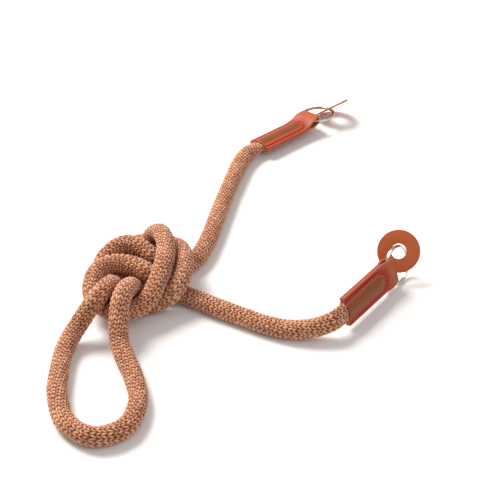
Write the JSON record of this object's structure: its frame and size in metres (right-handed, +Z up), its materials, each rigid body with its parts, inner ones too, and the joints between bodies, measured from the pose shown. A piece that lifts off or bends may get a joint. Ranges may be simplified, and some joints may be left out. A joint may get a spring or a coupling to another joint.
{
  "type": "camera strap",
  "caption": "Round knitted rope camera strap, folded double and tied in one overhand knot with a loop, with sewn leather ends, split rings and leather guard discs.",
  "frame": {"origin": "on the surface that the strap lies on, below the middle of the box round its two leather ends, rings and guard discs", "axes": "+Z up, +Y from the near leather end towards the far one, +X from the knot towards the side where the two leather ends point"},
  "size_m": [0.2296, 0.3787, 0.0333],
  "materials": {
    "rope": "knitted cotton",
    "leather": "smooth, waxed",
    "ring": "polished",
    "guard": "smooth, raw edge"
  },
  "bodies": {
    "root": {"strap_rope": "rope", "near_leather_end": "leather", "far_leather_end": "leather", "near_split_ring": "ring", "far_split_ring": "ring", "near_guard_disc": "guard", "far_guard_disc": "guard"}
  },
  "joints": []
}
